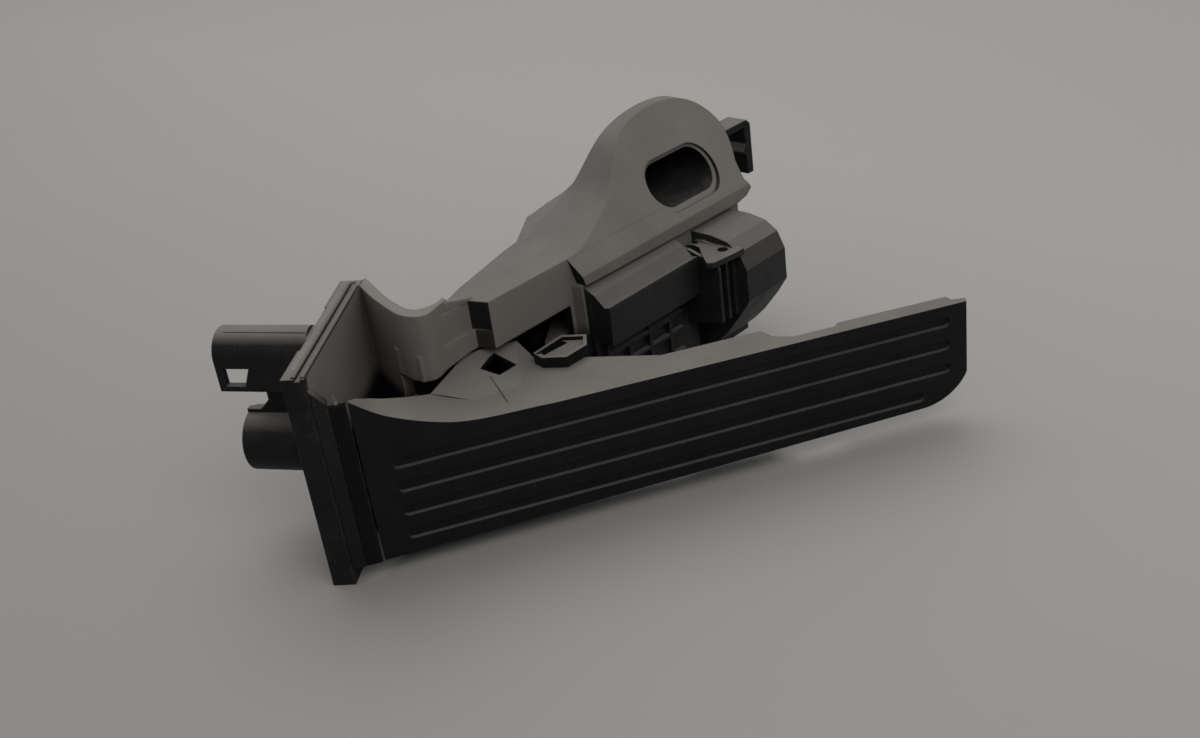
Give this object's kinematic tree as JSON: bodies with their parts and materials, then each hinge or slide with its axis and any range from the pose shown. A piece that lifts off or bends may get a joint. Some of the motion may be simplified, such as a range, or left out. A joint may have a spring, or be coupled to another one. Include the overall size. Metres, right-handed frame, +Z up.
{
  "type": "accelerator pedal module",
  "caption": "Floor-mounted electronic accelerator pedal: long grooved pad hinged at a heel flange, with a housing for the lever, wall ear and connector block.",
  "frame": {"origin": "middle of the footprint box, on the surface that the side cover's screw bosses rest on", "axes": "+X along the housing from the hinge of the pad to the wall ear, +Y into the wall that the ear bolts to and away from the driver's foot, +Z up as the module lies on its side, towards the side with the ear"},
  "size_m": [0.229, 0.1684, 0.1011],
  "materials": {
    "pad_plastic": "fine moulded grain",
    "housing_plastic": "fine moulded grain, dusty",
    "cover_plastic": "smooth moulded, satin",
    "lever_plastic": "satin",
    "hinge_elastomer": "soft, dull",
    "steel": "zinc plated",
    "spring_steel": "oiled wire",
    "bush_plastic": "self-lubricating, natural",
    "shoe_plastic": "brown friction plastic",
    "rubber": "dull",
    "seal_rubber": "silicone",
    "contact_brass": "tinned brass",
    "board": "lacquered circuit board",
    "target_metal": "rolled"
  },
  "bodies": {
    "module": {"hinge_strip": "hinge_elastomer", "housing": "housing_plastic", "bolt_sleeve": "steel", "lever_shaft": "steel", "side_cover": "cover_plastic", "sensor_cover": "cover_plastic", "sensor_housing": "housing_plastic", "connector_pins": "contact_brass", "sensor_board": "board", "cover_seal": "seal_rubber", "friction_shoe": "shoe_plastic", "return_spring_upper": "spring_steel", "return_spring_lower": "spring_steel", "shoe_spring": "spring_steel", "rest_buffer": "rubber", "stop_buffer": "rubber", "cover_screws": "steel"},
    "pedal": {"pedal_pad": "pad_plastic", "coupling_pin": "steel"},
    "lever": {"lever": "lever_plastic", "lever_bush_upper": "bush_plastic", "lever_bush_lower": "bush_plastic", "sensor_target": "target_metal"}
  },
  "joints": [
    {"name": "pedal_hinge", "type": "hinge", "parent": "module", "child": "pedal", "pos_m": [-0.1005, 0.0225, 0.0355], "axis": [0, 0, 1], "range_deg": [0, 13.5], "stiffness_Nm_per_rad": 6, "springref_deg": -17.19},
    {"name": "lever_turn", "type": "hinge", "parent": "module", "child": "lever", "pos_m": [0.0235, 0.038, 0.0375], "axis": [0, 0, -1], "range_deg": [0, 9.75], "deforming": ["return_spring_upper", "return_spring_lower"]}
  ],
  "couplings": [
    {"joint": "lever_turn", "follows": "pedal_hinge", "ratio": 0.718}
  ]
}
